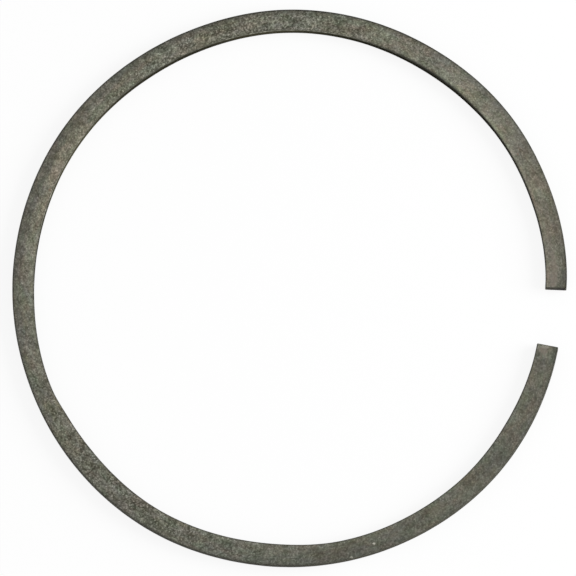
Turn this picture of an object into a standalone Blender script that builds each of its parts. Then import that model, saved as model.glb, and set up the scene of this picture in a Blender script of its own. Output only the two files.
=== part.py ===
"""A plain cast-iron compression piston ring, lying free on one side face.

The ring is one casting with a rectangular section, turned all over and cut through once,
so that it springs open when it is out of its cylinder. It is modelled in that free shape.

Metres, +Z up. +Z is the ring's axis, the lower side face lies on z = 0, the gap opens to +X,
and the origin is the middle of the bounding box's base.
"""

import math

import bmesh
import bpy
from mathutils import Vector

# The closed ring, as it sits in the cylinder
BORE = 0.0889
RADIAL_WALL = 0.00352
AXIAL_HEIGHT = 0.00238
CLOSED_GAP = 0.00035

# How far the ends spring apart at mid wall when the ring lies free
FREE_GAP = 0.0096

# Corners dulled where two faces meet
OUTER_EDGE_BREAK = 0.00008
INNER_EDGE_BREAK = 0.00014
END_EDGE_BREAK = 0.00010

# Places where the ring isn't quite true. Each is given by its turn in degrees round the closed
# ring from its back (negative is the -Y side), how many degrees it runs from there towards
# negative and towards positive turns, and how far it moves the wall in its middle.

# Where the free ring bellies out from the evenly sprung shape
BELLIES = (
    (-149, 25, 28, 0.00015),
    (-68, 25, 45, 0.00020),
    (31, 29, 27, 0.00014),
    (85, 22, 43, 0.00020),
    (139, 25, 21, 0.00014),
    (177, 27, 10, 0.00028),
)

# Where the inner wall stands proud, so that the wall is thicker, and where it stands back
INNER_HIGH_PLACES = (
    (-159, 16, 20, 0.00016),
    (-49, 21, 17, 0.00019),
    (50, 36, 21, 0.00010),
    (129, 45, 24, 0.00020),
)
INNER_LOW_PLACES = (
    (-112, 32, 18, 0.00028),
    (-31, 8, 28, 0.00027),
)

# Stations along each half of the ring, and straight facets across each dulled corner
HALF_STATIONS = 110
EDGE_FACETS = 2

# Faces that meet at more than this angle meet in a corner
CORNER_ANGLE = math.radians(45)

# The two sides of the wall
OUTER = 1
INNER = -1

# Phosphated grey iron: a dark olive grey with a dull metal sheen
IRON_COLOUR = (0.145, 0.141, 0.114, 1.0)
IRON_METALLIC = 0.75
IRON_ROUGHNESS = 0.55

# Worked out from the sizes above: the line at mid wall of the closed ring, which keeps its
# length as the ring springs open, and the angle that half of it turns through
NEUTRAL_RADIUS = (BORE - RADIAL_WALL) / 2
HALF_TURN = math.pi - CLOSED_GAP / 2 / NEUTRAL_RADIUS

# How often the search for the opening factor corrects it
SEARCH_STEPS = 12


def clear_scene():
    """Removes every object that the scene holds."""
    for found in list(bpy.data.objects):
        bpy.data.objects.remove(found, do_unlink=True)


def heading(turn, opening):
    """Way that the free neutral line runs where the closed ring has turned this far from its back.

    An even pressure on the closed ring bends it by (1 + cos(turn)), so the free ring is
    less curved than the closed one by that much times the opening factor.
    """
    return turn - opening * (turn + math.sin(turn))


def half_line(opening):
    """Neutral line of the +Y half in the free shape, from the back to the end, as (x, y, turn)."""
    step = HALF_TURN / HALF_STATIONS
    x = 0.0
    y = 0.0
    line = [(x, y, 0.0)]
    for station in range(HALF_STATIONS):
        start, middle, end = (
            heading((station + part) * step, opening) for part in (0.0, 0.5, 1.0)
        )
        length = NEUTRAL_RADIUS * step
        x += length * (math.sin(start) + 4 * math.sin(middle) + math.sin(end)) / 6
        y += length * (math.cos(start) + 4 * math.cos(middle) + math.cos(end)) / 6
        line.append((x, y, (station + 1) * step))
    return line


def opening_for_gap(gap):
    """Opening factor at which the ends of the free ring stand this far apart at mid wall.

    A small opening factor parts the ends by 3 pi radii times it, so each step adds the factor
    that would close the rest of the gap.
    """
    opening = 0.0
    for _ in range(SEARCH_STEPS):
        missing = gap - 2 * half_line(opening)[-1][1]
        opening += missing / (3 * math.pi * NEUTRAL_RADIUS)
    return opening


def out_of_true(turn, places):
    """How far these places move the wall at this turn from the ring's back."""
    moved = 0.0
    for middle, before, after, most in places:
        away = math.degrees(turn) - middle
        reach = before if away < 0 else after
        if abs(away) < reach:
            moved += most * (1 + math.cos(math.pi * away / reach)) / 2
    return moved


def plan_lines():
    """Outer and inner outline of the free ring seen along its axis, from one end to the other."""
    opening = opening_for_gap(FREE_GAP)
    half = half_line(opening)
    line = [(x, -y, -turn) for x, y, turn in reversed(half)] + half[1:]
    outer = []
    inner = []
    for x, y, turn in line:
        way = math.copysign(heading(abs(turn), opening), turn)
        outward = Vector((-math.cos(way), math.sin(way)))
        middle = Vector((x, y)) + outward * out_of_true(turn, BELLIES)
        thicker = out_of_true(turn, INNER_HIGH_PLACES) - out_of_true(turn, INNER_LOW_PLACES)
        outer.append(middle + outward * RADIAL_WALL / 2)
        inner.append(middle - outward * (RADIAL_WALL / 2 + thicker))
    centre = Vector(
        (min(reach) + max(reach)) / 2 for reach in zip(*(point.to_tuple() for point in outer))
    )
    return [point - centre for point in outer], [point - centre for point in inner]


def edge_break(edge, side):
    """Width of the dulled corner along an edge, or 0 where the edge isn't a corner.

    side is the layer that says on which side of the wall each vertex stands.
    """
    if edge.calc_face_angle() < CORNER_ANGLE:
        return 0.0
    start, end = edge.verts
    if start[side] != end[side] or start.co.z != end.co.z:
        return END_EDGE_BREAK
    return OUTER_EDGE_BREAK if start[side] == OUTER else INNER_EDGE_BREAK


def iron_material():
    """The ring's phosphated grey iron."""
    iron = bpy.data.materials.new("phosphated_iron")
    iron.use_nodes = True
    shader = iron.node_tree.nodes["Principled BSDF"]
    shader.inputs["Base Color"].default_value = IRON_COLOUR
    shader.inputs["Metallic"].default_value = IRON_METALLIC
    shader.inputs["Roughness"].default_value = IRON_ROUGHNESS
    iron.diffuse_color = IRON_COLOUR
    return iron


def raise_plan(shape, side):
    """Lays out the ring's plan as a strip of four-sided faces and raises it to its height."""
    stations = []
    for outer_point, inner_point in zip(*plan_lines()):
        outer = shape.verts.new((*outer_point, 0.0))
        inner = shape.verts.new((*inner_point, 0.0))
        outer[side] = OUTER
        inner[side] = INNER
        stations.append((outer, inner))
    for (outer_a, inner_a), (outer_b, inner_b) in zip(stations, stations[1:]):
        shape.faces.new((outer_a, outer_b, inner_b, inner_a))
    raised = bmesh.ops.extrude_face_region(shape, geom=shape.faces[:])
    top = [part for part in raised["geom"] if isinstance(part, bmesh.types.BMVert)]
    bmesh.ops.translate(shape, verts=top, vec=(0.0, 0.0, AXIAL_HEIGHT))
    bmesh.ops.recalc_face_normals(shape, faces=shape.faces[:])


def build_ring():
    """Makes the ring from its plan, its height and the width of each dulled corner."""
    shape = bmesh.new()
    side = shape.verts.layers.int.new("side")
    raise_plan(shape, side)
    widest = max(OUTER_EDGE_BREAK, INNER_EDGE_BREAK, END_EDGE_BREAK)
    weight = shape.edges.layers.float.new("bevel_weight_edge")
    for edge in shape.edges:
        edge[weight] = edge_break(edge, side) / widest
    mesh = bpy.data.meshes.new("piston_ring")
    shape.to_mesh(mesh)
    shape.free()
    mesh.shade_smooth()
    mesh.materials.append(iron_material())

    ring = bpy.data.objects.new("piston_ring", mesh)
    bpy.context.scene.collection.objects.link(ring)
    corners = ring.modifiers.new("dulled_corners", "BEVEL")
    corners.limit_method = "WEIGHT"
    corners.width = widest
    corners.segments = EDGE_FACETS
    corners.harden_normals = True


clear_scene()
build_ring()
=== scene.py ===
"""A phosphated cast-iron compression ring, lying free on a pale table, dressed for its picture.

The frame holds the ring's solid. This script lays a finer skin in its place, of the same free
shape, and gives each of its surfaces the finish that the ring's maker left on it.

Metres, +Z up. The ring's axis is +Z, its lower side face lies on z = 0 and its gap opens to +X.
A place on the ring is given as if the ring were laid out straight: along is the way round at
mid wall from the back of the ring, positive on the +Y side, across is the way from mid wall
towards the running face, and height is the way up from the lower side face. A turn is the
angle that a place has in the closed ring, in degrees from its back, positive on the +Y side.
"""

import logging
import math
from dataclasses import dataclass
from enum import Enum, IntEnum

import bpy
import numpy as np
from mathutils import Matrix, Vector, noise


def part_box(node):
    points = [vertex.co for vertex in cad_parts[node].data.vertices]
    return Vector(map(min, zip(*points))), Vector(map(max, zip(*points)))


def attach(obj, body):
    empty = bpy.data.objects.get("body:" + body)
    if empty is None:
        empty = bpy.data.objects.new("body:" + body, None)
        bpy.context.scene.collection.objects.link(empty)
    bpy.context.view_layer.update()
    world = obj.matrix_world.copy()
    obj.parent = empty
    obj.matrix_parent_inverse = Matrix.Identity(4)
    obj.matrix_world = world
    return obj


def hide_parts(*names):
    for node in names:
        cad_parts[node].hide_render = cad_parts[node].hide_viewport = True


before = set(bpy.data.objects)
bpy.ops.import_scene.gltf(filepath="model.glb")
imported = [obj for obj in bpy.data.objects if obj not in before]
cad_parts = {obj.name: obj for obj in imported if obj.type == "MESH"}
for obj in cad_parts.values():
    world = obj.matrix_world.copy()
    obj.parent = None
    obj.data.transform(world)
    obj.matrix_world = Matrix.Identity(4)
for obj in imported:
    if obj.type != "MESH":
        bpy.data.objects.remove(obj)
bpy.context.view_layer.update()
log = logging.getLogger("piston_ring")

MM = 0.001
CAD_NODE = "piston_ring"
BODY = "root"

# The skin's attributes that the finishes read
LAID_OUT = "laid_out"
COARSE = "coarse"
LIGHTNESS = "lightness"
WARMTH = "warmth"
COOLNESS = "coolness"
CORNER_DEPTH = "corner_depth"

# How strong a pattern's patches of half the size are beside the larger ones
FINER_SHARE = 0.8

# Noise values, about 0.5 on average, that give a pattern its 0 and its 1: a pattern that covers
# all, and one that lies in patches with bare places between them
ALL_OVER = (0.2, 0.8)
IN_PATCHES = (0.4, 0.7)

# How a seed moves an uneven pattern of points
SEED_WAY = (1.0, 1.7, -2.3)

# Size of the unevenness along a mark's edge, how often finer unevenness lies over it, how far it
# moves the edge beside the mark's size, and the share of that size that shows the mark fully
EDGE_MM = 0.45
EDGE_HALVINGS = 3.0
EDGE_RAGGED = 1.8
FULL_SHARE = 0.3


class Surface(IntEnum):
    """The ring's surfaces, in the order of its material slots."""

    SIDE_FACE = 0
    RUNNING_FACE = 1
    INNER_WALL = 2
    CUT_END = 3
    CORNER = 4


class Seed(IntEnum):
    """How far each uneven pattern is moved, so that no two are alike."""

    CLUSTERS = 5
    TOOL_LINES = 13
    TOOL_LINE_GRAIN = 17
    RUBBED_CORNER = 19
    CORNER_GRAIN = 29
    DRIFT = 31
    CRYSTAL_GRAIN = 37
    INNER_WAVE = 41
    OUTER_WAVE = 43
    CORNER_WEAR = 47


def linear(hex_colour: str) -> tuple[float, float, float, float]:
    """Turns an sRGB colour into the linear one that a shader takes.

    Args:
        hex_colour: The colour as "#rrggbb".

    Returns:
        Red, green, blue and an alpha of 1, each from 0 to 1.
    """
    parts = [int(hex_colour[start:start + 2], 16) / 255 for start in (1, 3, 5)]
    curved = [p / 12.92 if p <= 0.04045 else ((p + 0.055) / 1.055) ** 2.4 for p in parts]
    return (*curved, 1.0)


def add(tree: bpy.types.NodeTree, kind: str, sockets: dict, **settings) -> bpy.types.Node:
    """Adds a shader node with its settings and links.

    A Mix node's inputs go by number: 0 is the share, 2 and 3 are the values that it mixes and
    6 and 7 the colours. Its output 0 is the mixed value and 2 the mixed colour.

    Args:
        tree: The tree that the node goes into.
        kind: The node's type, without its ShaderNode prefix.
        sockets: For each input, by name or number, a value or the output that it takes.
        **settings: The node's own settings.

    Returns:
        The new node.
    """
    node = tree.nodes.new("ShaderNode" + kind)
    for name, value in settings.items():
        setattr(node, name, value)
    for key, value in sockets.items():
        if isinstance(value, bpy.types.NodeSocket):
            tree.links.new(value, node.inputs[key])
        else:
            node.inputs[key].default_value = value
    return node


def soft_step(values: np.ndarray, low: float, high: float) -> np.ndarray:
    """Rises smoothly from 0 at low to 1 at high, or falls where high is the smaller."""
    share = np.clip((values - low) / (high - low), 0.0, 1.0)
    return share * share * (3 - 2 * share)


def uneven(points: np.ndarray, size: float, seed: float) -> np.ndarray:
    """Gives uneven values from about -1 to 1 at these points.

    Args:
        points: One point a row.
        size: Distance over which the values change, in the points' unit.
        seed: How far the pattern is moved.

    Returns:
        One value a point.
    """
    shift = Vector([part * seed for part in SEED_WAY])
    return np.array([noise.noise(Vector(point) + shift) for point in points / size])


class MarkKind(Enum):
    """What made a mark on the side face, with the colour that it leaves. A glint is painted
    highlight where a crystal, a pit or an edge catches the light, and the nick's mark is painted
    shade in its hollow.
    """

    STAIN = "#3a3b34"
    # Painted highlight, a bright spot where the light catches
    GLINT = "#b4b2a6"
    RUST = "#7b5a48"
    HANDLED = "#7c7268"
    # Painted shade in the hollow of the nick
    NICK_SHADE = "#33332c"


@dataclass(frozen=True)
class Mark:
    """A single mark on the upper side face, at the pixel of the photograph that shows it."""

    kind: MarkKind
    seen_px: tuple[float, float]
    half_width_mm: float
    strength: float
    half_length_mm: float = 0.0

    def half_size_mm(self) -> tuple[float, float, float]:
        """How far the mark reaches along, across and in height."""
        length = self.half_length_mm or self.half_width_mm
        return length, self.half_width_mm, self.half_width_mm


@dataclass(frozen=True)
class PlacedMark:
    """A mark at its place on the laid-out ring, in millimetres."""

    mark: Mark
    place_mm: tuple[float, float, float]


@dataclass(frozen=True)
class Stretch:
    """A stretch of the ring with a look or shape of its own.

    turn is its middle, before and after are how far it runs from there towards negative and
    positive turns, and strength is how strongly it shows in the middle.
    """

    turn: float
    before: float
    after: float
    strength: float

    def cover(self, turns: np.ndarray) -> np.ndarray:
        """Works out how strongly the stretch shows.

        Args:
            turns: Turns in degrees.

        Returns:
            The strength at each of them, 0 outside the stretch.
        """
        away = turns - self.turn
        share = np.where(away < 0, -away / self.before, away / self.after)
        return self.strength * (1 + np.cos(math.pi * np.clip(share, 0.0, 1.0))) / 2


@dataclass(frozen=True)
class Course:
    """How a size or a look runs on the way round: a base, and the stretches that change it."""

    base: float
    stretches: tuple[Stretch, ...] = ()

    def at(self, turns: np.ndarray) -> np.ndarray:
        """Gives the value at each of these turns."""
        return self.base + sum(stretch.cover(turns) for stretch in self.stretches)


@dataclass(frozen=True)
class Outline:
    """The darker line along an edge of the side face, partly the thick coat there and partly
    painted shade where the corner turns away from the light.

    Beside it runs a strip as wide again where handling rubbed the coat lighter.
    """

    width: Course
    darker: Course
    rubbed: float

    def level(self, away: np.ndarray, turns: np.ndarray) -> np.ndarray:
        """Works out how light the coat and its painted shade are beside the edge.

        Args:
            away: How far each point lies from the edge.
            turns: The turn of each point, in degrees.

        Returns:
            The lightness at each point, 1 where the edge changes nothing.
        """
        width = self.width.at(turns)
        off_line = soft_step(away, 0.0, width)
        in_strip = off_line * soft_step(away, 2 * width, width)
        return (1 - self.darker.at(turns) * (1 - off_line)) * (1 + self.rubbed * in_strip)


@dataclass(frozen=True)
class Nick:
    """A small notch knocked into the inner wall's upper corner.

    reach is how far it runs along the corner each way, down how far it runs down the wall, and
    outward how far it runs into the side face.
    """

    seen_px: tuple[float, float] = (33.0, 298.0)
    depth: float = 0.13 * MM
    reach: float = 0.34 * MM
    down: float = 0.7 * MM
    outward: float = 0.5 * MM


class FreeShape:
    """The line at mid wall of the free ring, followed from one end to the other."""

    # Points along each half, and how often the search for the opening factor corrects it
    STEPS = 4000
    SEARCH_STEPS = 12

    def __init__(self, radius: float, half_turn: float, free_gap: float) -> None:
        """Finds how far the ring springs open, and follows its line.

        Args:
            radius: Radius at mid wall of the closed ring.
            half_turn: Angle from the closed ring's back to one of its ends.
            free_gap: How far apart the free ends stand at mid wall.
        """
        self.radius = radius
        self.opening = 0.0
        half = np.linspace(0.0, half_turn, self.STEPS)
        for _ in range(self.SEARCH_STEPS):
            missing = free_gap - 2 * self.half_line(half)[-1, 1]
            self.opening += missing / (3 * math.pi * radius)
        line = self.half_line(half)
        self.line = np.concatenate([line[:0:-1] * (1, -1), line])
        self.turns = np.concatenate([-half[:0:-1], half])

    def heading(self, turns: np.ndarray) -> np.ndarray:
        """Way that the free line runs where the closed ring has turned this far from its back.

        An even pressure bends the closed ring by (1 + cos(turn)), so the free ring is less
        curved by that much times the opening factor.
        """
        return turns - self.opening * (turns + np.sin(turns))

    def half_line(self, turns: np.ndarray) -> np.ndarray:
        """Adds up the line from the back, by Simpson's rule.

        Args:
            turns: Turns of the closed ring from its back, in radians, in rising order.

        Returns:
            The line's x and y at each of them.
        """
        low = self.heading(turns[:-1])
        middle = self.heading((turns[:-1] + turns[1:]) / 2)
        high = self.heading(turns[1:])
        length = self.radius * np.diff(turns) / 6
        x = length * (np.sin(low) + 4 * np.sin(middle) + np.sin(high))
        y = length * (np.cos(low) + 4 * np.cos(middle) + np.cos(high))
        return np.concatenate([np.zeros((1, 2)), np.cumsum(np.stack([x, y], 1), axis=0)])

    def at(self, along: np.ndarray) -> tuple[np.ndarray, np.ndarray]:
        """Finds places on the line.

        Args:
            along: How far each place is from the back.

        Returns:
            The line's points there, and its outward directions.
        """
        turns = along / self.radius
        x = np.interp(turns, self.turns, self.line[:, 0])
        y = np.interp(turns, self.turns, self.line[:, 1])
        way = self.heading(turns)
        return np.stack([x, y], 1), np.stack([-np.cos(way), np.sin(way)], 1)

    def lay_out(self, point: np.ndarray) -> tuple[float, float]:
        """Finds where a point lies on the laid-out ring.

        Args:
            point: Its x and y from the line's middle at the ring's back.

        Returns:
            Its along and across.
        """
        nearest = int(np.argmin(np.linalg.norm(self.line - point, axis=1)))
        along = self.radius * self.turns[nearest]
        middle, outward = self.at(np.array([along]))
        return float(along), float((point - middle[0]) @ outward[0])


@dataclass(frozen=True)
class Viewpoint:
    """Where the picture is taken from, as the ring's outline in the photograph gives it.

    The free shape of an evenly sprung ring was fitted to that outline. Pixels are counted from
    the photograph's top left corner. The closed circle is the outline that the ring has in its
    cylinder, touching the free ring at its back. The gap lies a little below the right, and
    the view leans off the ring's axis towards an angle counted from the right.
    """

    frame_px: float = 576.0
    closed_circle_px: float = 539.66
    closed_centre_px: tuple[float, float] = (282.67, 287.96)
    gap_below_right: float = math.radians(6.73)
    lean: float = math.radians(9.28)
    lean_towards: float = math.radians(277.6)
    distance_px: float = 9000.0
    clip_factor: float = 10.0
    sensor: float = 36.0

    def axes(self) -> tuple[Vector, Vector, Vector]:
        """Works out how the picture lies in the ring's frame.

        Returns:
            The directions of its right, its up and its way towards the camera.
        """
        leaning = Vector((math.cos(self.lean_towards), math.sin(self.lean_towards)))
        square = Vector((-leaning.y, leaning.x))
        tipped = Vector((*(leaning * math.cos(self.lean)), -math.sin(self.lean)))
        level = Vector((*square, 0.0))
        right = tipped * leaning.x + level * square.x
        up = tipped * leaning.y + level * square.y
        towards = Vector((*(leaning * math.sin(self.lean)), math.cos(self.lean)))
        turn = Matrix.Rotation(self.gap_below_right, 3, "Z")
        return turn @ right, turn @ up, turn @ towards

    def place_camera(self, bore: float, closed_centre: Vector) -> bpy.types.Object:
        """Makes the camera and aims it as the photograph was taken.

        Args:
            bore: Diameter of the closed circle.
            closed_centre: That circle's centre on the table.

        Returns:
            The camera.
        """
        right, up, towards = self.axes()
        pixel = bore / self.closed_circle_px
        middle = self.frame_px / 2
        aim = (
            closed_centre
            + right * (middle - self.closed_centre_px[0]) * pixel
            + up * (self.closed_centre_px[1] - middle) * pixel
        )
        distance = self.distance_px * pixel
        camera = bpy.data.objects.new("camera", bpy.data.cameras.new("camera"))
        camera.data.sensor_width = self.sensor
        camera.data.lens = self.sensor * self.distance_px / self.frame_px
        camera.data.clip_start = distance / self.clip_factor
        camera.data.clip_end = distance * self.clip_factor
        turned = Matrix((right, up, towards)).transposed().to_4x4()
        camera.matrix_world = Matrix.Translation(aim + towards * distance) @ turned
        bpy.context.scene.collection.objects.link(camera)
        bpy.context.scene.camera = camera
        return camera

    def on_level(self, seen_px: tuple[float, float], height: float,
                 camera: bpy.types.Object) -> Vector:
        """Finds the point that the photograph shows at a pixel.

        Args:
            seen_px: The pixel.
            height: Height of the point above the table.
            camera: The camera, in its place.

        Returns:
            The point.
        """
        right, up, towards = self.axes()
        middle = self.frame_px / 2
        ray = right * (seen_px[0] - middle) + up * (middle - seen_px[1])
        ray -= towards * self.distance_px
        start = camera.matrix_world.translation
        return start + ray * ((height - start.z) / ray.z)


@dataclass(frozen=True)
class Finish:
    """What the finishes share: a shader, and patterns measured in millimetres on the ring."""

    name: str
    metallic: float
    roughness: float
    specular: float = 0.5
    marks: tuple[PlacedMark, ...] = ()

    def material(self) -> bpy.types.Material:
        """Makes the material and lets the finish draw its patterns and marks.

        Returns:
            The material.
        """
        made = bpy.data.materials.new(self.name)
        made.use_nodes = True
        tree = made.node_tree
        shader = tree.nodes["Principled BSDF"]
        shader.inputs["Metallic"].default_value = self.metallic
        shader.inputs["Roughness"].default_value = self.roughness
        shader.inputs["Specular IOR Level"].default_value = self.specular
        place = add(tree, "Attribute", {}, attribute_name=LAID_OUT).outputs["Vector"]
        colour = self.draw(tree, shader, place)
        # The lightness attribute holds the coat's own tone and painted light and shade along the
        # edges, walls and ends
        lightness = add(tree, "Attribute", {}, attribute_name=LIGHTNESS).outputs["Fac"]
        colour = add(tree, "Mix", {0: 1.0, 6: colour, 7: lightness},
                     data_type="RGBA", blend_type="MULTIPLY").outputs[2]
        if self.marks:
            colour = self.marked(tree, place, colour)
        tree.links.new(colour, shader.inputs["Base Color"])
        return made

    def draw(self, tree: bpy.types.NodeTree, shader: bpy.types.Node,
             place: bpy.types.NodeSocket) -> bpy.types.NodeSocket:
        """Draws the finish's patterns into its shader and gives its colour.

        Args:
            tree: The material's tree.
            shader: Its shader.
            place: The laid-out place in millimetres.

        Returns:
            The colour.
        """
        raise NotImplementedError

    def patches(self, tree: bpy.types.NodeTree, place: bpy.types.NodeSocket, size_mm: float,
                span: tuple[float, float], seed: float, halvings: float = 1.0,
                stretch: tuple[float, float, float] = (1.0, 1.0, 1.0)) -> bpy.types.NodeSocket:
        """Draws uneven patches, as a coat, a tool or wear leaves them.

        Args:
            tree: The material's tree.
            place: The laid-out place in millimetres.
            size_mm: Size of the largest patches.
            span: The noise's values that give 0 and 1.
            seed: How far the pattern is moved.
            halvings: How many times patches of half the size lie over the larger ones.
            stretch: How much longer a patch is along, across and in height.

        Returns:
            A value from 0 between the patches to 1 on them.
        """
        moved = add(tree, "Mapping", {
            "Vector": place,
            "Location": (seed, 2 * seed, 3 * seed),
            "Scale": tuple(1 / longer for longer in stretch),
        })
        drawn = add(tree, "TexNoise", {
            "Vector": moved.outputs["Vector"],
            "Scale": 1 / size_mm,
            "Detail": halvings,
            "Roughness": FINER_SHARE,
        })
        spread = add(tree, "MapRange", {
            "Value": drawn.outputs["Fac"],
            "From Min": span[0],
            "From Max": span[1],
        })
        return spread.outputs["Result"]

    def marked(self, tree: bpy.types.NodeTree, place: bpy.types.NodeSocket,
               colour: bpy.types.NodeSocket) -> bpy.types.NodeSocket:
        """Lays the single marks, with soft and ragged edges, over the coat: stains, rust and
        wear, and painted glints and shade.

        Args:
            tree: The material's tree.
            place: The laid-out place in millimetres.
            colour: The coat's colour.

        Returns:
            The colour with the marks on it.
        """
        uneven_edge = add(tree, "TexNoise", {"Vector": place, "Scale": 1 / EDGE_MM,
                                             "Detail": EDGE_HALVINGS})
        ragged = add(tree, "VectorMath", {
            0: uneven_edge.outputs["Color"],
            1: (EDGE_RAGGED,) * 3,
            2: (-EDGE_RAGGED / 2,) * 3,
        }, operation="MULTIPLY_ADD").outputs[0]
        for placed in self.marks:
            away = add(tree, "VectorMath", {0: place, 1: placed.place_mm}, operation="SUBTRACT")
            shares = add(tree, "VectorMath", {0: away.outputs[0],
                                              1: placed.mark.half_size_mm()},
                         operation="DIVIDE")
            shaken = add(tree, "VectorMath", {0: shares.outputs[0], 1: ragged}, operation="ADD")
            reach = add(tree, "VectorMath", {0: shaken.outputs[0]}, operation="LENGTH")
            share = add(tree, "MapRange", {
                "Value": reach.outputs["Value"],
                "From Min": 1.0,
                "From Max": FULL_SHARE,
                "To Max": placed.mark.strength,
            }, interpolation_type="SMOOTHSTEP")
            colour = add(tree, "Mix", {0: share.outputs["Result"], 6: colour,
                                       7: linear(placed.mark.kind.value)},
                         data_type="RGBA").outputs[2]
        return colour


@dataclass(frozen=True)
class Tint:
    """A colour that lies over the coat in patches of its own."""

    colour: str
    size_mm: float
    seed: float


@dataclass(frozen=True)
class PhosphatedFace(Finish):
    """Grey cast iron, its side face ground flat and then manganese phosphated.

    The coat's crystals give a matt olive grey with a fine salt-and-pepper speckle, in which
    few crystals are bright. It is coarser where the coat grew thicker, tinted in patches where
    the iron shows through, bluer towards the running face, where it was rubbed, and darker
    along the corners, partly where it is thick and partly as painted shade where the corners
    turn away from the light. Real crystals are about a hundredth of a millimetre across, too
    fine to show, so they are drawn as clumps.
    """

    # Colours of the gaps and of the brightest crystals, how few crystals are that bright, and
    # the tints of a brown place and of the rubbed outer edge
    dark: str = "#3a392d"
    bright: str = "#a3a296"
    bright_rarity: float = 1.5
    warm: str = "#fff7f4"
    cool: str = "#f5f8ff"

    # Sizes of a crystal, of a cluster of them and of the coat's slow drift from darker to
    # lighter, how strong the drift is, and how much longer drift and tints are along the ring
    crystal_mm: float = 0.24
    cluster_mm: float = 2.2
    drift_mm: float = 6.5
    drift: float = 0.08
    patch_stretch: tuple[float, float, float] = (2.0, 1.0, 1.0)

    # How high the crystals stand, how strong they are beside their clusters, how much rougher
    # the gaps are, and the speckle's contrast where the coat is fine and where it is coarse
    crystal_height: float = 0.008 * MM
    crystal_share: float = 0.70
    roughness_change: float = 0.08
    fine_contrast: float = 1.0
    coarse_contrast: float = 2.2

    # Form of a crystal: how much it is squeezed across the ring, how softly it meets the next,
    # how far its dome reaches and how strong that is, how ragged it is, and the grain on it
    crystal_stretch: float = 1.3
    crystal_softness: float = 1.0
    dome_reach: float = 0.75
    dome: float = 0.4
    shaken_mm: float = 0.3
    grain_mm: float = 0.09
    grain_share: float = 0.3
    tints: tuple[Tint, ...] = (
        Tint("#f1fff1", 1.9, 3.0),
        Tint("#fff3ec", 1.9, 11.0),
        Tint("#f4f7ff", 2.5, 23.0),
    )

    def draw(self, tree: bpy.types.NodeTree, shader: bpy.types.Node,
             place: bpy.types.NodeSocket) -> bpy.types.NodeSocket:
        """Draws the speckle, the tints and how light the coat is.

        Args:
            tree: The material's tree.
            shader: Its shader.
            place: The laid-out place in millimetres.

        Returns:
            The colour.
        """
        speckle = self.speckle(tree, place)
        bright = add(tree, "Math", {0: speckle, 1: self.bright_rarity}, operation="POWER")
        colour = add(tree, "Mix", {0: bright.outputs[0], 6: linear(self.dark),
                                   7: linear(self.bright)}, data_type="RGBA").outputs[2]
        shares = []
        for name, tint_colour in ((WARMTH, self.warm), (COOLNESS, self.cool)):
            share = add(tree, "Attribute", {}, attribute_name=name).outputs["Fac"]
            shares.append((share, tint_colour))
        for tint in self.tints:
            share = self.patches(tree, place, tint.size_mm, IN_PATCHES, tint.seed, 2.0,
                                 self.patch_stretch)
            shares.append((share, tint.colour))
        for share, tint_colour in shares:
            colour = add(tree, "Mix", {0: share, 6: colour, 7: linear(tint_colour)},
                         data_type="RGBA", blend_type="MULTIPLY").outputs[2]
        roughness = add(tree, "MapRange", {
            "Value": speckle,
            "To Min": self.roughness + self.roughness_change,
            "To Max": self.roughness - self.roughness_change,
        })
        tree.links.new(roughness.outputs["Result"], shader.inputs["Roughness"])
        relief = add(tree, "Bump", {"Height": speckle, "Distance": self.crystal_height})
        tree.links.new(relief.outputs["Normal"], shader.inputs["Normal"])
        drift = self.patches(tree, place, self.drift_mm, ALL_OVER, Seed.DRIFT,
                             stretch=self.patch_stretch)
        drifted = add(tree, "MapRange", {"Value": drift, "To Min": 1 - self.drift,
                                         "To Max": 1 + self.drift}).outputs["Result"]
        return add(tree, "Mix", {0: 1.0, 6: colour, 7: drifted}, data_type="RGBA",
                   blend_type="MULTIPLY").outputs[2]

    def crystals(self, tree: bpy.types.NodeTree,
                 place: bpy.types.NodeSocket) -> bpy.types.NodeSocket:
        """Draws ragged crystals, each of its own lightness and darker towards its rim.

        Args:
            tree: The material's tree.
            place: The laid-out place in millimetres.

        Returns:
            How light the crystals are, about 0 to 1.
        """
        squeezed = add(tree, "Mapping", {"Vector": place, "Scale": (1, self.crystal_stretch, 1)})
        shaken = add(tree, "TexNoise", {"Vector": place, "Scale": 2 / self.crystal_mm})
        shaken = add(tree, "VectorMath", {
            0: shaken.outputs["Color"],
            1: (self.shaken_mm,) * 3,
            2: squeezed.outputs["Vector"],
        }, operation="MULTIPLY_ADD")
        crystals = add(tree, "TexVoronoi", {
            "Vector": shaken.outputs["Vector"],
            "Scale": 1 / self.crystal_mm,
            "Smoothness": self.crystal_softness,
        }, feature="SMOOTH_F1")
        domed = add(tree, "MapRange", {
            "Value": crystals.outputs["Distance"],
            "From Max": self.dome_reach,
            "To Min": 1 + self.dome,
            "To Max": 1 - self.dome,
        })
        crystal = add(tree, "Math", {0: crystals.outputs["Color"], 1: domed.outputs["Result"]},
                      operation="MULTIPLY").outputs[0]
        grain = self.patches(tree, place, self.grain_mm, ALL_OVER, Seed.CRYSTAL_GRAIN, 2.0)
        return add(tree, "Mix", {0: self.grain_share, 2: crystal, 3: grain}).outputs[0]

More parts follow.
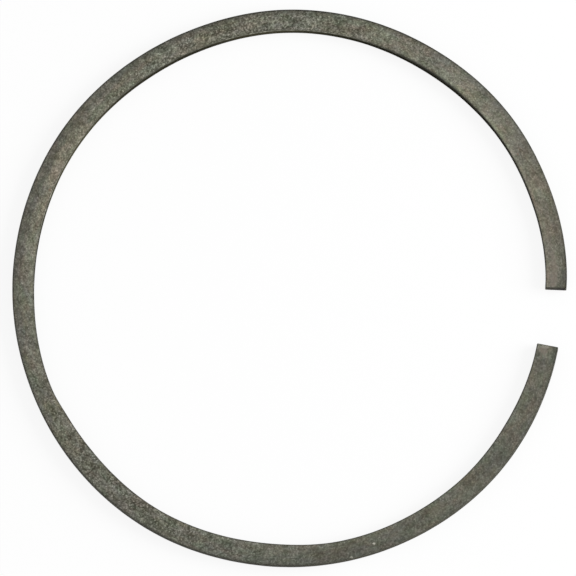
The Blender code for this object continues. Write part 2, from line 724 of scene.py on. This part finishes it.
    def speckle(self, tree: bpy.types.NodeTree,
                place: bpy.types.NodeSocket) -> bpy.types.NodeSocket:
        """Draws the speckle: crystals in clusters, in stronger contrast where they are coarse.

        Args:
            tree: The material's tree.
            place: The laid-out place in millimetres.

        Returns:
            A value from 0 in the gaps between crystals to 1 on the brightest.
        """
        coarse = add(tree, "Attribute", {}, attribute_name=COARSE).outputs["Fac"]
        clusters = self.patches(tree, place, self.cluster_mm, ALL_OVER, Seed.CLUSTERS, 3.0)
        mixed = add(tree, "Mix", {0: self.crystal_share, 2: clusters,
                                  3: self.crystals(tree, place)}).outputs[0]
        contrast = add(tree, "MapRange", {
            "Value": coarse,
            "To Min": self.fine_contrast,
            "To Max": self.coarse_contrast,
        })
        centred = add(tree, "Math", {0: mixed, 1: 0.5}, operation="SUBTRACT").outputs[0]
        spread = add(tree, "Math", {0: centred, 1: contrast.outputs["Result"], 2: 0.5},
                     operation="MULTIPLY_ADD", use_clamp=True)
        return spread.outputs[0]


@dataclass(frozen=True, kw_only=True)
class WorkedSurface(Finish):
    """Grey cast iron worked by a tool and phosphated over its marks.

    The tool's fine parallel lines show through the coat as faint streaks, and a little of the
    coat's speckle shows between them. Both are finer on a real ring than a picture shows, and
    are drawn as coarse as they need to be to show.
    """

    dark: str
    bright: str
    line_mm: float
    line_stretch: tuple[float, float, float]
    span: tuple[float, float] = (0.25, 0.75)
    crystal_mm: float = 0.27
    speckle_share: float = 0.4
    line_height: float = 0.004 * MM

    def draw(self, tree: bpy.types.NodeTree, shader: bpy.types.Node,
             place: bpy.types.NodeSocket) -> bpy.types.NodeSocket:
        """Draws the tool's lines and the coat's speckle.

        Args:
            tree: The material's tree.
            shader: Its shader.
            place: The laid-out place in millimetres.

        Returns:
            The colour.
        """
        lines = self.patches(tree, place, self.line_mm, self.span, Seed.TOOL_LINES,
                             stretch=self.line_stretch)
        grain = self.patches(tree, place, self.crystal_mm, self.span, Seed.TOOL_LINE_GRAIN)
        share = add(tree, "Mix", {0: self.speckle_share, 2: lines, 3: grain}).outputs[0]
        relief = add(tree, "Bump", {"Height": share, "Distance": self.line_height})
        tree.links.new(relief.outputs["Normal"], shader.inputs["Normal"])
        return add(tree, "Mix", {0: share, 6: linear(self.dark), 7: linear(self.bright)},
                   data_type="RGBA").outputs[2]


@dataclass(frozen=True)
class DulledCorner(Finish):
    """The corner left between two faces, deburred by hand and phosphated.

    It turns away from the light and holds the coat thickly, so it draws a thin dark outline
    round each face, with a few places along its ridge rubbed lighter. Its dark coat colour
    is partly painted shade, standing in for that turning away from the light.
    """

    # The dark coat colour is partly painted shade of a corner turned away from the light
    coat: str = "#26261f"
    rubbed: str = "#6b6a60"
    rubbed_mm: float = 0.9
    rubbed_span: tuple[float, float] = (0.5, 0.7)
    rubbed_share: float = 0.6
    crystal_mm: float = 0.27

    def draw(self, tree: bpy.types.NodeTree, shader: bpy.types.Node,
             place: bpy.types.NodeSocket) -> bpy.types.NodeSocket:
        """Draws the coat and the places rubbed along the corner's ridge.

        Args:
            tree: The material's tree.
            shader: Its shader.
            place: The laid-out place in millimetres.

        Returns:
            The colour.
        """
        depth = add(tree, "Attribute", {}, attribute_name=CORNER_DEPTH).outputs["Fac"]
        handled = self.patches(tree, place, self.rubbed_mm, self.rubbed_span,
                               Seed.RUBBED_CORNER)
        rubbed = add(tree, "Math", {0: handled, 1: depth}, operation="MULTIPLY").outputs[0]
        grain = self.patches(tree, place, self.crystal_mm, ALL_OVER, Seed.CORNER_GRAIN)
        share = add(tree, "Mix", {0: self.rubbed_share, 2: grain, 3: rubbed}).outputs[0]
        return add(tree, "Mix", {0: share, 6: linear(self.coat), 7: linear(self.rubbed)},
                   data_type="RGBA").outputs[2]


@dataclass
class PistonRing:
    """The free ring: its sizes, its skin and its finishes."""

    bore: float = 88.9 * MM
    radial_wall: float = 3.52 * MM
    closed_gap: float = 0.35 * MM
    free_gap: float = 9.6 * MM
    outer_break: float = 0.08 * MM
    inner_break: float = 0.14 * MM
    end_break: float = 0.10 * MM

    # How unevenly the corners were filed, and how wavy the walls are: the most, the share of it
    # in the middle with the least and the greatest share, and the size of the unevenness
    corner_wear: float = 0.03 * MM
    wear_shares: tuple[float, float, float] = (0.5, 0.1, 1.2)
    wear_mm: float = 0.6
    wave: float = 0.012 * MM
    outer_wave_shares: tuple[float, float, float] = (0.3, 0.2, 1.0)
    wave_mm: float = 2.2

    # How finely the skin is divided: along the ring, across each face, and round each corner
    pitch: float = 0.178 * MM
    face_columns: int = 17
    lower_columns: int = 8
    wall_rows: int = 7
    corner_facets: int = 4
    nick: Nick = Nick()

    # Where the free ring bellies out from the evenly sprung shape
    bellies: Course = Course(0.0, (
        Stretch(-149, 25, 28, 0.15 * MM),
        Stretch(-68, 25, 45, 0.20 * MM),
        Stretch(31, 29, 27, 0.14 * MM),
        Stretch(85, 22, 43, 0.20 * MM),
        Stretch(139, 25, 21, 0.14 * MM),
        Stretch(177, 27, 10, 0.28 * MM),
    ))

    # Where the inner wall stands proud, or back where it is negative
    inner_changes: Course = Course(0.0, (
        Stretch(-159, 16, 20, 0.16 * MM),
        Stretch(-112, 32, 18, -0.28 * MM),
        Stretch(-49, 21, 17, 0.19 * MM),
        Stretch(-31, 8, 28, -0.27 * MM),
        Stretch(50, 36, 21, 0.10 * MM),
        Stretch(129, 45, 24, 0.20 * MM),
    ))

    # How the side face's coat runs on the way round: how coarse it is, how much darker and
    # how wide its outer band is, how much lighter it is towards its inner edge, how light the
    # whole of it is, how brown, and how blue its outer edge
    coarse: Course = Course(0.0, (
        Stretch(0, 200, 200, 0.3),
        Stretch(82, 65, 55, 0.75),
        Stretch(-60, 55, 48, 0.6),
    ))
    band: Course = Course(0.09, (
        Stretch(10, 55, 55, 0.28),
        Stretch(65, 50, 45, 0.28),
        Stretch(180, 70, 20, 0.07),
        Stretch(-140, 40, 40, -0.06),
    ))
    band_width: Course = Course(0.6 * MM, (
        Stretch(20, 70, 65, 1.1 * MM),
        Stretch(180, 50, 20, 0.9 * MM),
    ))
    inner_rub: Course = Course(0.03, (
        Stretch(80, 30, 24, -0.16),
        Stretch(48, 22, 25, -0.14),
        Stretch(3, 25, 25, 0.06),
        Stretch(135, 28, 30, 0.22),
        Stretch(-95, 40, 40, 0.10),
    ))
    light: Course = Course(1.08, (
        Stretch(136, 45, 60, 0.12),
        Stretch(88, 20, 20, -0.04),
        Stretch(17, 52, 75, 0.34),
        Stretch(-45, 35, 35, -0.05),
        Stretch(-100, 40, 40, -0.11),
        Stretch(-150, 100, 110, -0.25),
    ))
    warm: Course = Course(0.18, (
        Stretch(165, 70, 30, 0.72),
        Stretch(22, 42, 34, 0.7),
        Stretch(-67, 18, 18, 0.35),
        Stretch(-100, 28, 26, -0.18),
    ))
    cool: Course = Course(0.35, (
        Stretch(140, 45, 60, 0.6),
        Stretch(20, 35, 35, 0.45),
    ))
    # The dark lines along the side face's edges are partly the thick coat and partly painted
    # shade where the corners turn away from the light
    outer_outline: Outline = Outline(
        width=Course(0.33 * MM),
        darker=Course(0.6, (
            Stretch(100, 50, 35, 0.2),
            Stretch(158, 25, 20, -0.35),
            Stretch(-105, 75, 75, -0.45),
            Stretch(-150, 50, 50, -0.25),
        )),
        rubbed=0.06,
    )
    inner_outline: Outline = Outline(
        width=Course(0.26 * MM, (
            Stretch(126, 22, 22, 0.26 * MM),
        )),
        darker=Course(0.15, (
            Stretch(122, 24, 24, 0.6),
            Stretch(34, 18, 18, -0.2),
            Stretch(-8, 24, 24, -0.1),
            Stretch(-115, 45, 60, -0.12),
        )),
        rubbed=0.12,
    )

    # How light each corner and each wall is on the way round: partly the coat's own tone and
    # partly painted light and shade, lighter where it faces the light and darker where it faces
    # away
    inner_corner_light: Course = Course(1.2, (
        Stretch(125, 24, 35, -0.8),
        Stretch(86, 32, 34, 3.2),
        Stretch(25, 63, 38, 2.4),
    ))
    inner_wall_light: Course = Course(1.1, (
        Stretch(118, 28, 45, -0.42),
        Stretch(82, 20, 20, 0.95),
        Stretch(27, 25, 22, 1.4),
    ))
    outer_corner_light: Course = Course(1.7, (
        Stretch(155, 30, 25, 0.3),
        Stretch(-160, 20, 30, 0.3),
    ))
    running_face_light: Course = Course(1.05, (
        Stretch(-50, 30, 30, 0.15),
        Stretch(-130, 50, 45, 0.65),
    ))

    # How far the blue reaches from the outer edge, how softly the outer band ends and how much
    # finer its speckle is, and how far the rubbed strip reaches from the inner edge
    cool_reach: float = 1.6 * MM
    band_fade: float = 0.7 * MM
    band_finer: float = 0.4
    rub_width: float = 1.7 * MM

    # How much darker the outer corner of each end is, as painted shade of a filed facet that
    # turns away from the light, how far that reaches along and across the face, and how much
    # painted light brightens the ends' own corners
    end_shade: float = 0.35
    end_shade_reach: tuple[float, float] = (3.2 * MM, 0.6 * MM)
    end_corner_light: float = 1.7
    marks: tuple[Mark, ...] = (
        # Painted highlights: glints where a crystal or a pit catches the light
        Mark(MarkKind.GLINT, (374.0, 543.4), 0.26, 0.95),
        Mark(MarkKind.GLINT, (352.2, 557.3), 0.28, 0.5, 0.42),
        Mark(MarkKind.STAIN, (476.5, 474.0), 0.40, 0.6),
        Mark(MarkKind.STAIN, (525.5, 406.6), 0.38, 0.6),
        Mark(MarkKind.STAIN, (535.5, 397.0), 0.34, 0.6),
        Mark(MarkKind.STAIN, (521.5, 427.0), 0.30, 0.5),
        Mark(MarkKind.STAIN, (541.5, 386.0), 0.40, 0.5),
        Mark(MarkKind.STAIN, (484.0, 95.0), 0.35, 0.5),
        Mark(MarkKind.STAIN, (497.0, 111.0), 0.35, 0.5),
        Mark(MarkKind.RUST, (518.0, 154.0), 0.35, 0.35),
        Mark(MarkKind.RUST, (50.0, 190.0), 0.45, 0.35),
        Mark(MarkKind.HANDLED, (554.0, 264.0), 0.85, 0.45, 4.0),
        Mark(MarkKind.HANDLED, (553.5, 280.5), 1.0, 0.55, 2.0),
        Mark(MarkKind.HANDLED, (548.0, 272.0), 0.5, 0.4, 1.5),
        # These two darken the outer band at the upper end as painted shade, with the end shade,
        # where a filed facet turns away from the light
        Mark(MarkKind.STAIN, (559.0, 277.5), 0.35, 0.5),
        Mark(MarkKind.STAIN, (563.0, 274.0), 0.5, 0.35, 3.5),
        # A painted highlight along the end's outer edge
        Mark(MarkKind.GLINT, (561.5, 261.5), 0.16, 0.28, 0.9),
        Mark(MarkKind.HANDLED, (543.5, 350.5), 1.05, 0.6, 1.6),
        # A glint colour over the lower end's rubbed corner: painted highlight on worn metal
        Mark(MarkKind.GLINT, (544.0, 346.5), 1.0, 0.2, 0.45),
        # Darkens the outer band at the lower end as painted shade, where a filed facet turns
        # away from the light
        Mark(MarkKind.STAIN, (553.0, 352.0), 0.6, 0.35, 1.6),
        # Painted shade in the nick's hollow
        Mark(MarkKind.NICK_SHADE, (31.5, 297.0), 0.25, 0.5),
    )

    def __post_init__(self) -> None:
        """Takes the ring's height and its place from the frame, and follows its free shape."""
        low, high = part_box(CAD_NODE)
        self.height = high.z - low.z
        self.half_wall = self.radial_wall / 2
        radius = self.bore / 2 - self.half_wall
        self.shape = FreeShape(radius, math.pi - self.closed_gap / 2 / radius, self.free_gap)
        along = self.shape.turns * radius
        line, outward = self.shape.at(along)
        outline = line + outward * (self.half_wall + self.belly(along))[:, None]
        self.middle_of_back = Vector(-(outline.min(axis=0) + outline.max(axis=0)) / 2)
        self.closed_centre = Vector((*self.middle_of_back, 0.0)) + Vector((radius, 0.0, 0.0))

    def belly(self, along: np.ndarray) -> np.ndarray:
        """How far the whole wall stands out from the evenly sprung shape."""
        return self.bellies.at(np.degrees(along / self.shape.radius))

    def lay_out(self, point: Vector) -> tuple[float, float]:
        """Gives the along and across of a point on the ring."""
        along, across = self.shape.lay_out(np.array(point.xy - self.middle_of_back))
        return along, across - float(self.belly(np.array(along)))

    def stations(self) -> tuple[np.ndarray, np.ndarray]:
        """Sets the skin's cross sections out along the ring.

        Returns:
            How far along each one stands, and how far inside the plain section its own outline
            lies, which is more than nothing only where an end's corner is rounded.
        """
        reach = self.shape.radius * self.shape.turns[-1] - self.end_break
        count = 2 * round(reach / self.pitch) + 1
        along = np.linspace(-reach, reach, count)
        steps = np.linspace(0.0, math.pi / 2, self.corner_facets + 1)[1:]
        rounded = reach + self.end_break * np.sin(steps)
        inset = self.end_break * (1 - np.cos(steps))
        whole = np.concatenate([-rounded[::-1], along, rounded])
        return whole, np.concatenate([inset[::-1], np.zeros(count), inset])

    def section(self) -> tuple[np.ndarray, np.ndarray, list[Surface]]:
        """Draws the ring's cross section as one closed loop.

        Returns:
            Across and height of each point, how deep in a corner's rounding it lies, from 0 to
            1, and the surface that the stretch from it to the next point belongs to.
        """
        half, top = self.half_wall, self.height
        outer, inner = self.outer_break, self.inner_break
        corners = (
            (half - outer, top - outer, outer, 90),
            (half - outer, outer, outer, 0),
            (-half + inner, inner, inner, -90),
            (-half + inner, top - inner, inner, -180),
        )
        after = (
            (Surface.RUNNING_FACE, self.wall_rows),
            (Surface.SIDE_FACE, self.lower_columns),
            (Surface.INNER_WALL, self.wall_rows),
            (Surface.SIDE_FACE, self.face_columns),
        )
        arcs = []
        for across, height, radius, start in corners:
            angles = np.radians(np.linspace(start, start - 90, self.corner_facets + 1))
            arcs.append(np.stack([across + radius * np.cos(angles),
                                  height + radius * np.sin(angles)], 1))
        points, depths, surfaces = [], [], []
        for number, (arc, (surface, count)) in enumerate(zip(arcs, after)):
            goal = arcs[(number + 1) % len(arcs)][0]
            shares = (1 - np.cos(np.linspace(0.0, math.pi, count + 1)[:-1, None])) / 2
            points += [arc[:-1], arc[-1] + (goal - arc[-1]) * shares]
            depths += [np.sin(np.linspace(0.0, math.pi, self.corner_facets + 1))[:-1],
                       np.zeros(count)]
            surfaces += [Surface.CORNER] * self.corner_facets + [surface] * count
        return np.concatenate(points), np.concatenate(depths), surfaces

    def set_backs(self, along: np.ndarray) -> tuple[np.ndarray, np.ndarray]:
        """Works out how far the inner and the outer wall stand back.

        Args:
            along: Where each station is.

        Returns:
            How far the inner wall and how far the outer wall stands back there.
        """
        turns = np.degrees(along / self.shape.radius)
        places = np.stack([along / MM, np.zeros_like(along), np.zeros_like(along)], 1)
        inner = self.wave * uneven(places, self.wave_mm, Seed.INNER_WAVE)
        inner = inner - self.inner_changes.at(turns)
        middle, least, greatest = self.outer_wave_shares
        shares = middle + uneven(places, self.wave_mm, Seed.OUTER_WAVE)
        return inner, self.wave * np.clip(shares, least, greatest)

    def notch(self, along: np.ndarray, across: np.ndarray, height: np.ndarray,
              nick_along: float) -> np.ndarray:
        """Works out how far the nick sets the skin back.

        Args:
            along: Along of each point.
            across: Across of each point.
            height: Height of each point.
            nick_along: Where the nick is.

        Returns:
            How far each point moves outward.
        """
        away = np.clip(np.abs(along - nick_along) / self.nick.reach, 0.0, 1.0)
        near_top = soft_step(height, self.height - self.nick.down, self.height)
        near_edge = soft_step(across, -self.half_wall + self.nick.outward, -self.half_wall)
        return self.nick.depth * (1 - away ** 2) ** 2 * near_top * near_edge

    def build_skin(self, nick_along: float) -> bpy.types.Object:
        """Lays the skin out as one closed mesh, with the attributes that the finishes read.

        Args:
            nick_along: Where the nick is.

        Returns:
            The skin, without its materials.
        """
        along, inset = self.stations()
        loop, depth, surfaces = self.section()
        middle = self.height / 2
        narrowed = 1 - inset[:, None] / self.half_wall
        lowered = 1 - inset[:, None] / middle
        across = loop[:, 0] * narrowed
        height = middle + (loop[:, 1] - middle) * lowered
        inner_back, outer_back = self.set_backs(along)
        inner_share = (self.half_wall - across) / self.radial_wall
        across = across + inner_back[:, None] * inner_share
        across = across - outer_back[:, None] * (1 - inner_share)
        stations = np.broadcast_to(along[:, None], across.shape)
        across = across + self.notch(stations, across, height, nick_along)
        depth = np.maximum(depth, np.sqrt(inset / self.end_break)[:, None])
        worn = self.worn(stations, across, height, depth)
        across = across - np.sign(across) * worn
        height = height - np.sign(height - middle) * worn

        line, outward = self.shape.at(along)
        out = across + self.belly(along)[:, None]
        plan = line[:, None] + outward[:, None] * out[:, :, None]
        plan = plan + np.array(self.middle_of_back)
        points = np.concatenate([plan, height[:, :, None]], 2).reshape(-1, 3)
        mesh = bpy.data.meshes.new("phosphated_ring")
        faces, slots = self.faces(inset, surfaces)
        mesh.from_pydata(points.tolist(), [], faces)
        mesh.polygons.foreach_set("material_index", slots)
        mesh.polygons.foreach_set("use_smooth", [slot != Surface.CUT_END for slot in slots])
        laid_out = np.stack([stations, across, height], 2) / MM
        self.write_attributes(mesh, laid_out, depth)
        mesh.validate()
        skin = bpy.data.objects.new("phosphated_ring", mesh)
        bpy.context.scene.collection.objects.link(skin)
        return skin

    def worn(self, along: np.ndarray, across: np.ndarray, height: np.ndarray,
             depth: np.ndarray) -> np.ndarray:
        """Works out how unevenly the rounded corners were filed back.

        Args:
            along: Along of each point.
            across: Across of each point.
            height: Height of each point.
            depth: How deep in a corner's rounding each point lies, from 0 to 1.

        Returns:
            How far each point is filed back.
        """
        worn = np.zeros_like(across)
        rounded = depth > 0
        places = np.stack([along[rounded], across[rounded], height[rounded]], 1) / MM
        middle, least, greatest = self.wear_shares
        shares = middle + uneven(places, self.wear_mm, Seed.CORNER_WEAR)
        worn[rounded] = self.corner_wear * np.clip(shares, least, greatest)
        return worn * depth

    def faces(self, inset: np.ndarray, surfaces: list[Surface]) -> tuple[list, list]:
        """Joins the stations into faces that look outward, and closes the two ends.

        Args:
            inset: How far each station's outline lies inside the plain section.
            surfaces: The surface after each point of the section.

        Returns:
            The faces as lists of point numbers, and the material slot of each.
        """
        count = len(surfaces)
        last = len(inset) - 1
        faces, slots = [], []
        for station in range(last):
            rounding = inset[station] > 0 or inset[station + 1] > 0
            here, there = station * count, (station + 1) * count
            for number, surface in enumerate(surfaces):
                after = (number + 1) % count
                faces.append((here + number, there + number, there + after, here + after))
                slots.append(int(Surface.CORNER if rounding else surface))
        faces.append(tuple(range(count)))
        faces.append(tuple(reversed(range(last * count, (last + 1) * count))))
        slots += [int(Surface.CUT_END)] * 2
        return faces, slots

    def write_attributes(self, mesh: bpy.types.Mesh, laid_out: np.ndarray,
                         depth: np.ndarray) -> None:
        """Writes where each point lies on the laid-out ring, and how the coat is there, with the
        painted light and shade along its edges, walls and ends.

        Args:
            mesh: The skin's mesh.
            laid_out: Along, across and height of each point, in millimetres.
            depth: How deep in a corner's rounding each point lies, from 0 to 1.
        """
        along, across = laid_out[:, :, 0] * MM, laid_out[:, :, 1] * MM
        turns = np.degrees(along / self.shape.radius)
        from_inner = across - across.min(axis=1, keepdims=True) - self.inner_break
        from_outer = across.max(axis=1, keepdims=True) - across - self.outer_break
        inside = (from_outer - self.band_width.at(turns)) / self.band_fade
        in_band = soft_step(inside, 0.5, -0.5)
        rub = self.inner_rub.at(turns) * soft_step(from_inner, self.rub_width, 0.0)
        from_end = np.abs(along).max() - np.abs(along)
        # Painted shade over the outer corner of each end, where a filed facet turns away from
        # the light
        shade = self.end_shade * soft_step(from_end, self.end_shade_reach[0], 0.0)
        shade = shade * soft_step(from_outer, self.end_shade_reach[1], 0.0)
        lightness = self.light.at(turns) * (1 + rub) * (1 - shade)
        lightness = lightness * (1 - self.band.at(turns) * in_band)
        lightness = lightness * self.outer_outline.level(from_outer, turns)
        lightness = lightness * self.inner_outline.level(from_inner, turns)
        # Walls and corners take their own lightness by turn, with painted light and shade in it
        sides = (
            (from_inner, self.inner_wall_light, self.inner_corner_light),
            (from_outer, self.running_face_light, self.outer_corner_light),
        )
        for away, wall, corner in sides:
            level = wall.at(turns) * (1 - depth) + corner.at(turns) * depth
            lightness = np.where(away < -self.wave, level, lightness)
        # Painted light on the ends' own corners
        lightness = np.where(from_end < self.end_break / 2,
                             lightness * self.end_corner_light, lightness)
        values = {
            COARSE: self.coarse.at(turns) * (1 - self.band_finer * in_band),
            LIGHTNESS: lightness,
            WARMTH: self.warm.at(turns),
            COOLNESS: self.cool.at(turns) * soft_step(from_outer, self.cool_reach, 0.0),
            CORNER_DEPTH: depth,
        }
        for name, value in values.items():
            written = mesh.attributes.new(name, "FLOAT", "POINT")
            written.data.foreach_set("value", value.astype(np.float32).ravel())
        written = mesh.attributes.new(LAID_OUT, "FLOAT_VECTOR", "POINT")
        written.data.foreach_set("vector", laid_out.astype(np.float32).ravel())

    def dress(self, skin: bpy.types.Object, placed: tuple[PlacedMark, ...]) -> None:
        """Gives each surface its finish, in the order of Surface.

        Args:
            skin: The skin.
            placed: The single marks on its upper side face.
        """
        finishes = (
            PhosphatedFace("cast_iron_ground_and_phosphated", metallic=0.4, roughness=0.62,
                           specular=0.3, marks=placed),
            WorkedSurface("cast_iron_turned_lapped_and_phosphated", metallic=0.1,
                          roughness=0.75, specular=0.08, dark="#1f1e17", bright="#444237",
                          line_mm=0.08, line_stretch=(80.0, 1.0, 1.0)),
            WorkedSurface("cast_iron_rough_turned_and_phosphated", metallic=0.0,
                          roughness=0.9, specular=0.0, dark="#1d1c14", bright="#3c3a2e",
                          line_mm=0.14, line_stretch=(70.0, 1.0, 1.0), speckle_share=0.5),
            WorkedSurface("cast_iron_milled_and_phosphated", metallic=0.1, roughness=0.85,
                          specular=0.15, dark="#1b1914", bright="#322f27", line_mm=0.09,
                          line_stretch=(1.0, 30.0, 1.0)),
            # The corners' finish holds painted shade in its dark coat colour
            DulledCorner("cast_iron_deburred_phosphated_and_shaded", metallic=0.1, roughness=0.8,
                         specular=0.2, marks=placed),
        )
        for finish in finishes:
            skin.data.materials.append(finish.material())


@dataclass(frozen=True)
class Studio:
    """A pale table in a white room, under one soft lamp.

    The room's even light and the lamp's together show a colour about as it is written. The
    table is mostly plain white to the camera and to what reflects it, and the rest of it is
    lit, so that it keeps the ring's soft shadow.
    """

    # The table, the share of it that is plain white, and how far it lies below the ring
    table_side: float = 6.0
    white: str = "#ffffff"
    table_white: float = 0.88
    table_drop: float = 0.01 * MM

    # How strongly the room lights the ring, and the lamp's size, place and strength
    room_light: float = 0.55
    lamp_side: float = 0.5
    lamp_distance: float = 0.8
    lamp_watts: float = 5.5
    lamp_azimuth: float = math.radians(10)
    lamp_elevation: float = math.radians(32)

    def seen_directly(self, tree: bpy.types.NodeTree) -> bpy.types.NodeSocket:
        """Tells what sees the white directly.

        Args:
            tree: The tree of the world or the material.

        Returns:
            1 for rays from the camera or off something glossy or clear, and else 0.
        """
        path = add(tree, "LightPath", {})
        glossy = add(tree, "Math", {0: path.outputs["Is Camera Ray"],
                                    1: path.outputs["Is Glossy Ray"]}, operation="MAXIMUM")
        clear = add(tree, "Math", {0: glossy.outputs[0],
                                   1: path.outputs["Is Transmission Ray"]},
                    operation="MAXIMUM")
        return clear.outputs[0]

    def build_room(self) -> None:
        """Surrounds the scene with white, which lights it a little less than it shows."""
        room = bpy.data.worlds.new("white_room")
        room.use_nodes = True
        tree = room.node_tree
        tree.nodes.clear()
        strength = add(tree, "MapRange", {"Value": self.seen_directly(tree),
                                          "To Min": self.room_light})
        walls = add(tree, "Background", {"Color": linear(self.white),
                                         "Strength": strength.outputs["Result"]})
        add(tree, "OutputWorld", {"Surface": walls.outputs[0]})
        bpy.context.scene.world = room

    def build_table(self) -> bpy.types.Object:
        """Makes the table top, which can be looked through from below.

        Returns:
            The table top.
        """
        half = self.table_side / 2
        corners = [(-half, -half), (half, -half), (half, half), (-half, half)]
        mesh = bpy.data.meshes.new("table_top")
        mesh.from_pydata([(x, y, -self.table_drop) for x, y in corners], [], [(0, 1, 2, 3)])
        paint = bpy.data.materials.new("painted_board")
        paint.use_nodes = True
        tree = paint.node_tree
        tree.nodes.clear()
        share = add(tree, "Math", {0: self.seen_directly(tree), 1: self.table_white},
                    operation="MULTIPLY")
        lit = add(tree, "BsdfDiffuse", {"Color": linear(self.white)})
        plain = add(tree, "Emission", {"Color": linear(self.white)})
        board = add(tree, "MixShader", {0: share.outputs[0], 1: lit.outputs[0],
                                        2: plain.outputs[0]})
        side = add(tree, "NewGeometry", {})
        clear = add(tree, "BsdfTransparent", {})
        both = add(tree, "MixShader", {0: side.outputs["Backfacing"], 1: board.outputs[0],
                                       2: clear.outputs[0]})
        add(tree, "OutputMaterial", {"Surface": both.outputs[0]})
        mesh.materials.append(paint)
        table = bpy.data.objects.new("table_top", mesh)
        bpy.context.scene.collection.objects.link(table)
        return table

    def hang_lamp(self) -> bpy.types.Object:
        """Hangs a soft square lamp above the ring's gap, a little to its +Y side.

        Returns:
            The lamp.
        """
        lamp = bpy.data.objects.new("soft_lamp", bpy.data.lights.new("soft_lamp", "AREA"))
        lamp.data.size = self.lamp_side
        lamp.data.energy = self.lamp_watts
        level = math.cos(self.lamp_elevation)
        way = Vector((level * math.cos(self.lamp_azimuth), level * math.sin(self.lamp_azimuth),
                      math.sin(self.lamp_elevation)))
        lamp.location = way * self.lamp_distance
        lamp.rotation_euler = way.to_track_quat("Z", "Y").to_euler()
        bpy.context.scene.collection.objects.link(lamp)
        return lamp


def main() -> None:
    """Builds the picture: the viewpoint, the room, and the ring with its finishes."""
    logging.basicConfig(level=logging.INFO, format="%(name)s: %(message)s")
    bpy.context.scene.view_settings.view_transform = "Standard"
    ring = PistonRing()
    viewpoint = Viewpoint()
    camera = viewpoint.place_camera(ring.bore, ring.closed_centre)
    log.info("camera %.3f m away", (camera.matrix_world.translation - ring.closed_centre).length)

    studio = Studio()
    studio.build_room()
    log.info("table %s", studio.build_table().name)
    log.info("lamp %s", studio.hang_lamp().name)

    nick = viewpoint.on_level(ring.nick.seen_px, ring.height, camera)
    placed = []
    for mark in ring.marks:
        along, across = ring.lay_out(viewpoint.on_level(mark.seen_px, ring.height, camera))
        placed.append(PlacedMark(mark, (along / MM, across / MM, ring.height / MM)))
    skin = ring.build_skin(ring.lay_out(nick)[0])
    ring.dress(skin, tuple(placed))
    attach(skin, BODY)
    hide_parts(CAD_NODE)
    log.info("%s with %d faces", skin.name, len(skin.data.polygons))


if __name__ == "__main__":
    main()
